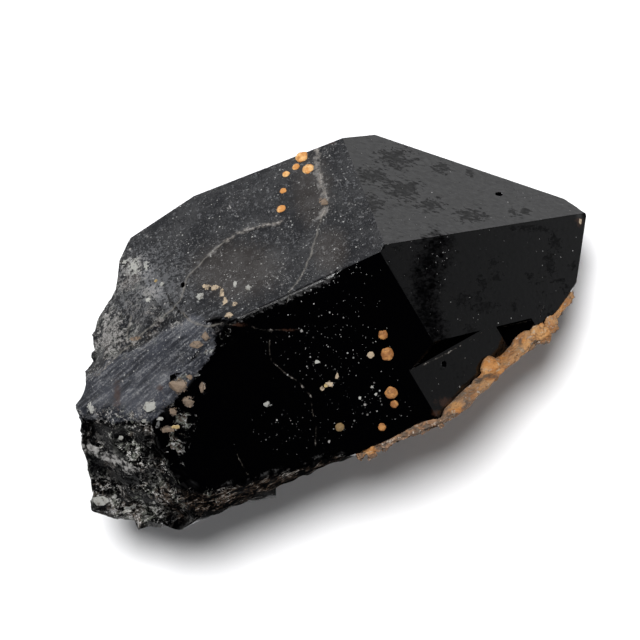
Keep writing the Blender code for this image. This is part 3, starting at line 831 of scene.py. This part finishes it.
# Ochre buttons: small rounded lumps of rusty iron mineral that grew on the crystal's back and
# top faces in loose rows. Each is a low dome with a lobed rim and a grainy skin.
BACK_BUTTONS = (
    (12.5, 31.3, 2.5), (10.9, 30.4, 1.5), (12.8, 29.5, 2.3), (8.8, 30.0, 1.5), (7.3, 28.1, 1.3),
    (5.9, 26.0, 1.8))
TOP_BUTTONS = (
    (14.4, 2.1, 1.8), (13.7, -1.4, 2.5), (11.0, -0.4, 1.3), (11.6, -8.2, 2.4), (11.3, -10.3, 1.5),
    (7.7, -13.3, 1.5), (0.9, -10.3, 1.7))
CHALKY_BUTTON = (11.0, -0.4)
BUTTON_HEIGHT = 0.17
BUTTON_SUNK = 0.10
BUTTON_SPOKES = 36
BUTTON_RINGS = 12
BUTTON_BROWN = (0.20, 0.075, 0.016, 1.0)
BUTTON_OCHRE = (0.32, 0.145, 0.040, 1.0)
BRIGHT_ORANGE = (0.46, 0.20, 0.05, 1.0)
BRIGHT_OCHRE = (0.62, 0.37, 0.15, 1.0)
BUTTON_SHADE = (0.10, 0.042, 0.016, 1.0)
GREENISH_BROWN = (0.10, 0.075, 0.032, 1.0)
CHALK = (0.30, 0.25, 0.18, 1.0)


def on_face(face, x, y):
    normal = face_normal(face)
    return Vector((x, y, (face[2] - normal.x * x - normal.y * y) / normal.z))


def button(face, x, y, width, seed, into):
    """Adds one dome: rings from a skirt under the face up to the crown, with lobes and grain."""
    normal = face_normal(face)
    side = Vector((1.0, 0.0, 0.0)).cross(normal).normalized()
    along = normal.cross(side)
    centre = on_face(face, x, y)
    lobes = Vector((seed * 4.1, seed * 1.3, 0.0))
    layers = []
    for ring in range(BUTTON_RINGS + 1):
        climb = ring / BUTTON_RINGS * math.pi * 0.58 - math.pi * 0.08
        layer = []
        for step in range(BUTTON_SPOKES):
            angle = 2.0 * math.pi * step / BUTTON_SPOKES
            out = Vector((math.cos(angle), math.sin(angle), 0.0))
            lobe = 1.0 + 0.16 * noise.noise(out * 1.5 + lobes)
            reach = math.cos(climb) ** 0.6 * width * 0.47 * lobe
            height = math.sin(climb) * width * BUTTON_HEIGHT
            place = centre + (along * out.x + side * out.y) * reach + normal * height
            grain = 0.5 * noise.noise(place / 0.55) + 0.35 * noise.noise(place / 0.25)
            layer.append(into.verts.new(place + normal * grain * 0.09 * width * math.cos(climb * 0.6)))
        layers.append(layer)
    crown = into.verts.new(centre + normal * width * BUTTON_HEIGHT)
    foot = into.verts.new(centre - normal * width * BUTTON_SUNK)
    for lower, upper in zip(layers, layers[1:]):
        for step in range(BUTTON_SPOKES):
            after = (step + 1) % BUTTON_SPOKES
            into.faces.new((lower[step], lower[after], upper[after], upper[step]))
    for step in range(BUTTON_SPOKES):
        after = (step + 1) % BUTTON_SPOKES
        into.faces.new((layers[-1][step], layers[-1][after], crown))
        into.faces.new((layers[0][after], layers[0][step], foot))


lumps = bmesh.new()
for number, (x, y, width) in enumerate(BACK_BUTTONS):
    button(BACK, x, y, width, number + 1.0, lumps)
for number, (x, y, width) in enumerate(TOP_BUTTONS):
    button(TOP, x, y, width, number + 11.0, lumps)
bmesh.ops.recalc_face_normals(lumps, faces=lumps.faces[:])
lump_points, lump_corners = as_arrays(lumps)
buttons = piece_from(lump_points, lump_corners, "ochre_buttons", 60.0)
button_spots = [table_to_stone @ vertex.co for vertex in buttons.data.vertices]
chalky_middle = on_face(TOP, *CHALKY_BUTTON)
field(buttons, "bright", [float(spot_at.y > 20.0) for spot_at in button_spots])
field(buttons, "chalky", [float((spot_at - chalky_middle).length < 1.2) for spot_at in button_spots])
field(buttons, "greenish", [float(spot_at.x < 4.0) for spot_at in button_spots])

ochre = Finish("ochre_button")
grain = ochre.cloud(0.5, 1.0, 4.0, 0.65)
patch_share = ochre.cloud(1.1, 2.0, 3.0).step(0.42, 0.64)
bright = ochre.field("bright")
warm = ochre.coats(ochre.blend(BUTTON_BROWN, BUTTON_OCHRE, patch_share), (
    (ochre.blend(BRIGHT_ORANGE, BRIGHT_OCHRE, patch_share), bright),
    (BUTTON_SHADE, grain.step(0.52, 0.66) * (0.8 - bright * 0.4)),
    (GREENISH_BROWN, ochre.field("greenish") * 0.8),
    (CHALK, ochre.field("chalky") * 0.85)))
relief = grain * 0.12 + ochre.cells(0.35, 3.0) * 0.06
rusty = ochre.shader(warm, 0.62 + grain * 0.2, ochre.bump(relief), 1.5, 0.4)
ochre.cover(buttons, rusty)
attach(buttons, "root")

# Grown-in grains: angular chips of paler minerals, white, cream, tan and yellow, that sit half
# sunk in the crystal's skin. Each is a small broken lump with flat sides.
TAN_CHIPS = (
    (179, 386, 11, 10), (188, 402, 6, 6), (173, 411, 5, 5), (202, 387, 3, 7), (196, 345, 8, 4),
    (206, 336, 5, 5), (168, 430, 8, 3), (325, 202, 5, 5), (190, 377, 4, 4))
WHITE_CHIPS = (
    (101, 501, 10, 6), (150, 406, 8, 6), (146, 420, 6, 5), (127, 512, 7, 3), (200, 297, 5, 5),
    (248, 287, 3, 6), (162, 284, 3, 3), (148, 300, 4, 3), (267, 404, 4, 3), (121, 438, 4, 3),
    (160, 419, 4, 4), (235, 284, 2, 5), (376, 394, 2, 2), (372, 387, 2, 2), (360, 398, 2, 2),
    (317, 362, 3, 3))
CREAM_CHIPS = (
    (207, 287, 4, 3), (214, 288, 4, 3), (221, 292, 3, 5), (225, 300, 2, 5), (235, 304, 3, 3),
    (229, 315, 5, 3), (330, 384, 5, 4), (337, 376, 2, 4), (322, 388, 3, 3), (580, 221, 2, 4))
YELLOW_CHIPS = ((176, 427, 5, 2), (156, 281, 2, 2))
CHIPS = (
    (GRAIN_TAN, TAN_CHIPS), (GRAIN_WHITE, WHITE_CHIPS), (GRAIN_CREAM, CREAM_CHIPS),
    (GRAIN_YELLOW, YELLOW_CHIPS))
CHIP_CORNERS = 11
CHIP_THICKEST = 0.5
CHIP_LEVELS = (-1.2, 0.35, 1.0)
CHIP_STAIN = (0.06, 0.045, 0.033, 1.0)

shaped_skin = BVHTree.FromPolygons([tuple(point) for point in shaped], corners.tolist())
luck = random.Random(5)
chips = bmesh.new()
chip_colour = chips.verts.layers.float_color.new("chip_colour")


def chip(tint, x, y, half_wide, half_high):
    """Adds one chip: the hull of a ring of corners, some sunk in the skin, some on its flat crown."""
    centre = shaped_skin.ray_cast(eye, sight_line((x, y)))[0]
    if centre is None:
        return
    normal = stone_skin.find_nearest(centre)[1]
    across = look.transposed() @ Vector((1.0, 0.0, 0.0))
    across = (across - normal * across.dot(normal)).normalized()
    upward = normal.cross(across)
    thick = min(CHIP_THICKEST, 0.45 * min(half_wide, half_high) * MM_PER_PIXEL)
    shade = luck.uniform(0.75, 1.1)
    chip_corners = []
    for number in range(CHIP_CORNERS):
        angle = 2.0 * math.pi * (number + luck.uniform(0.0, 0.9)) / CHIP_CORNERS
        level = luck.choice(CHIP_LEVELS)
        reach = luck.uniform(0.75, 1.08) if level < 1.0 else luck.uniform(0.25, 0.75)
        place = centre + across * (math.cos(angle) * reach * half_wide * MM_PER_PIXEL)
        place = place + upward * (math.sin(angle) * reach * half_high * MM_PER_PIXEL)
        corner = chips.verts.new(place + normal * level * thick)
        corner[chip_colour] = (tint[0] * shade, tint[1] * shade, tint[2] * shade, 1.0)
        chip_corners.append(corner)
    hull = bmesh.ops.convex_hull(chips, input=chip_corners)
    inner = [item for item in hull["geom_interior"] if isinstance(item, bmesh.types.BMVert) and item.is_valid]
    bmesh.ops.delete(chips, geom=inner, context="VERTS")


for tint, places in CHIPS:
    for place in places:
        chip(tint, *place)
bmesh.ops.recalc_face_normals(chips, faces=chips.faces[:])
chips_data = bpy.data.meshes.new("pale_grains")
chips.to_mesh(chips_data)
chips.free()
chips_data.transform(stone_to_table)
grains_piece = placed("pale_grains", chips_data)
pale_mineral = Finish("pale_mineral")
own = pale_mineral.node("ShaderNodeAttribute", {"attribute_name": "chip_colour"}, output=0)
stain = pale_mineral.cloud(0.8, 1.0, 4.0, 0.7)
tinted = pale_mineral.blend(own, CHIP_STAIN, stain.step(0.50, 0.66) * 0.8)
relief = stain * 0.15 + pale_mineral.cells(0.4, 2.0) * 0.06
broken = pale_mineral.shader(tinted, 0.65, pale_mineral.bump(relief), 1.5, 0.3)
pale_mineral.cover(grains_piece, broken)
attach(grains_piece, "root")

# The crust: a rusty, grainy coating of iron mineral on the low side, where a neighbour once
# touched the crystal. It is thin at its left end and gathers into lumps along the upper rim.
CRUST_LUMPS = (
    (492, 373, 13, 15), (541, 332, 15, 11), (459, 411, 9, 7), (372, 457, 9, 6), (526, 345, 7, 7),
    (505, 362, 6, 6), (562, 314, 5, 8))
CRUST_RIM = (
    (353, 469), (384, 448), (407, 436), (432, 426), (458, 412), (487, 387), (501, 371), (526, 350),
    (549, 330), (572, 304))
WIDTH_ALONG = (5.0, 12.0, 20.0, 23.5, 25.5, 29.0, 30.5, 34.0, 36.5, 40.0, 43.0)
CRUST_WIDTH = (1.2, 1.3, 1.7, 1.9, 3.8, 4.0, 1.9, 1.9, 3.6, 3.4, 1.8)
CRUST_TRIANGLE = 0.47
THIN_BY = 0.34
SINK_DEPTH = 3.6
TUCK_DEPTH = 2.2
TUCK_BACK = 1.8
DEEP_ORANGE = (0.33, 0.140, 0.038, 1.0)
LIGHT_ORANGE = (0.39, 0.205, 0.080, 1.0)
GRAIN_SHADE = (0.10, 0.045, 0.022, 1.0)
CRUST_CREAM = (0.34, 0.26, 0.18, 1.0)
CRUST_BLACK = (0.05, 0.04, 0.034, 1.0)
CRUST_SPARK = (0.42, 0.36, 0.30, 1.0)
DRAB_BROWN = (0.20, 0.12, 0.075, 1.0)
DRAB_GREY = (0.050, 0.042, 0.038, 1.0)

crust_points, crust_corners = fine_skin("ochre_crust", lambda middle: CRUST_TRIANGLE * coarser)
crust_normals = skin_normals(crust_points, crust_corners)
outside = -np.min([under(crust_points, face) for face in GROWN_FACES], axis=0)
free_side = smooth(0.32, 0.6, outside)
grains = clouds(crust_points, 1.6, 21.0, 3) * 0.34 + bowls(crust_points, 1.3, 22.0) * 0.30
grains = grains + 0.28 * clouds(crust_points, 0.75, 24.0) - 0.05
lump_share = patch_values(crust_points, CRUST_LUMPS, 0.0) + 0.15 * clouds(crust_points, 1.6, 25.0)
lumpy = smooth(0.0, 0.5, lump_share)
grains = (grains - THIN_BY * (1.0 - lumpy)) * free_side + THIN_BY * (1.0 - free_side)

# Beside the drawn contour the crust sinks away from the eye, and its lower rim is ragged
flat_gap = near_drawing(crust_points, CRUST_RIM)
allowed = np.interp(crust_points[:, 0], WIDTH_ALONG, CRUST_WIDTH)
rim_gap = near_line(crust_points, CRUST_RIM)
sink = smooth(allowed, allowed + 0.6, flat_gap) * smooth(7.0, 5.5, rim_gap)
side_normal = np.array(face_normal(FRONT))
down_side = np.cross(side_normal, np.array((1.0, 0.0, 0.0)))
spread = np.stack([crust_points[:, 0], crust_points @ down_side], axis=1)
reach_low, reach_high = spread.min(axis=0), spread.max(axis=0)
spread = (spread - (reach_high + reach_low) * 0.5) / ((reach_high - reach_low) * 0.5)
ragged_rim = np.hypot(spread[:, 0], spread[:, 1]) + 0.16 * clouds(crust_points, 5.0, 26.0, 4)
tuck = smooth(0.84, 0.90, ragged_rim) * smooth(5.0, 8.0, rim_gap)
crust_shaped = crust_points + crust_normals * grains[:, None]
crust_shaped -= sink[:, None] * SINK_DEPTH * np.array(eye.normalized())
crust_shaped -= tuck[:, None] * TUCK_DEPTH * side_normal
crust_shaped[:, 0] -= tuck * TUCK_BACK * smooth(36.0, 44.0, crust_points[:, 0])
crust = piece_from(crust_shaped, crust_corners, "rusty_crust", 50.0)
keep_in_box(crust, "ochre_crust")

field(crust, "lumpy", lumpy)
field(crust, "left_part", smooth(27.0, 21.0, crust_points[:, 0]))
crusty = Finish("crust")
lumps_tone = crusty.cloud(2.6, 1.0, 3.0)
grain = crusty.cloud(0.7, 2.0, 4.0, 0.7)
bright_grain = crusty.cloud(1.3, 3.0, 3.0, 0.6, 0.8)
dark_patches = crusty.cloud(3.0, 4.0, 3.0)
thin = 1.0 - crusty.field("lumpy")
drab = crusty.blend(DRAB_BROWN, DRAB_GREY, bright_grain.step(0.42, 0.56))
earth = crusty.coats(crusty.blend(DEEP_ORANGE, LIGHT_ORANGE, lumps_tone.step(0.42, 0.6)), (
    (GRAIN_SHADE, grain.step(0.52, 0.66) * 0.8),
    (CRUST_CREAM, bright_grain.step(0.56, 0.66) * 0.8),
    (CRUST_BLACK, dark_patches.step(0.56, 0.66) * 0.8),
    (drab, thin * (0.35 + 0.45 * crusty.field("left_part"))),
    (CRUST_SPARK, thin * grain.step(0.58, 0.66) * 0.8)))
relief = grain * 0.35 + crusty.cells(0.5, 5.0) * 0.16 + crusty.cloud(0.3, 6.0, 3.0) * 0.12
rough_earth = crusty.shader(earth, 0.75 + grain * 0.15, crusty.bump(relief), 1.5, 0.3)
crusty.cover(crust, rough_earth)
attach(crust, "root")
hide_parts("ochre_crust")

# The table and the light: a white table, a white band of light low round it that the upright
# faces mirror, a dark ceiling, and one broad soft lamp from the upper left of the picture.
FLOOR_HALF = 8.0
TABLE_WHITE = (0.86, 0.86, 0.87, 1.0)
HORIZON_WHITE = (0.76, 0.77, 0.81, 1.0)
DARK_CEILING = (0.002, 0.002, 0.003, 1.0)
CEILING_STARTS = 0.50
SKY_STEPS = ((0.17, 0.72), (0.30, 0.24), (0.40, 0.09))
SKY_NODES = ("TexCoord", "SeparateXYZ", "ValToRGB", "Background", "OutputWorld")
UP_LEFT_IN_PICTURE = Vector((-0.50, 0.87, 0.0))
KEY_OUT, KEY_HEIGHT, KEY_SIZE, KEY_WATTS = 0.55, 2.0, 0.72, 67.0
FILL_OUT, FILL_HEIGHT, FILL_SIZE, FILL_WATTS = 2.2, 1.6, 1.4, 9.0

floor_mesh = bmesh.new()
bmesh.ops.create_grid(floor_mesh, x_segments=2, y_segments=2, size=FLOOR_HALF)
floor_data = bpy.data.meshes.new("table")
floor_mesh.to_mesh(floor_data)
floor_mesh.free()
table = placed("table", floor_data)
paper = Finish("paper")
paper.cover(table, paper.node("ShaderNodeBsdfDiffuse", None, {"Color": TABLE_WHITE}))

sky = bpy.data.worlds.new("studio")
bpy.context.scene.world = sky
sky.use_nodes = True
sky.node_tree.nodes.clear()
make = sky.node_tree.nodes.new
where, parts, shade, glow, out = (make("ShaderNode" + kind) for kind in SKY_NODES)
for source, target in ((where.outputs[0], parts), (parts.outputs[2], shade), (shade.outputs[0], glow),
                       (glow.outputs[0], out)):
    sky.node_tree.links.new(source, target.inputs[0])
shade.color_ramp.elements[0].position = 0.0
shade.color_ramp.elements[0].color = HORIZON_WHITE
shade.color_ramp.elements[1].position = CEILING_STARTS
shade.color_ramp.elements[1].color = DARK_CEILING
for height, level in SKY_STEPS:
    stop = shade.color_ramp.elements.new(height)
    stop.color = (level * 0.97, level * 0.98, level, 1.0)


def lamp(name, place, size, power):
    light = bpy.data.lights.new(name, "AREA")
    light.shape = "DISK"
    light.size = size
    light.energy = power
    item = placed(name, light)
    item.location = place
    item.rotation_euler = (-Vector(place)).to_track_quat("-Z", "Y").to_euler()


up_left = laid_down.to_3x3() @ (look.transposed() @ UP_LEFT_IN_PICTURE)
lamp("key", (up_left.x * KEY_OUT, up_left.y * KEY_OUT, KEY_HEIGHT), KEY_SIZE, KEY_WATTS)
lamp("fill", (-up_left.x * FILL_OUT, -up_left.y * FILL_OUT, FILL_HEIGHT), FILL_SIZE, FILL_WATTS)
bpy.context.scene.view_settings.view_transform = "Standard"
bpy.context.scene.view_settings.look = "None"
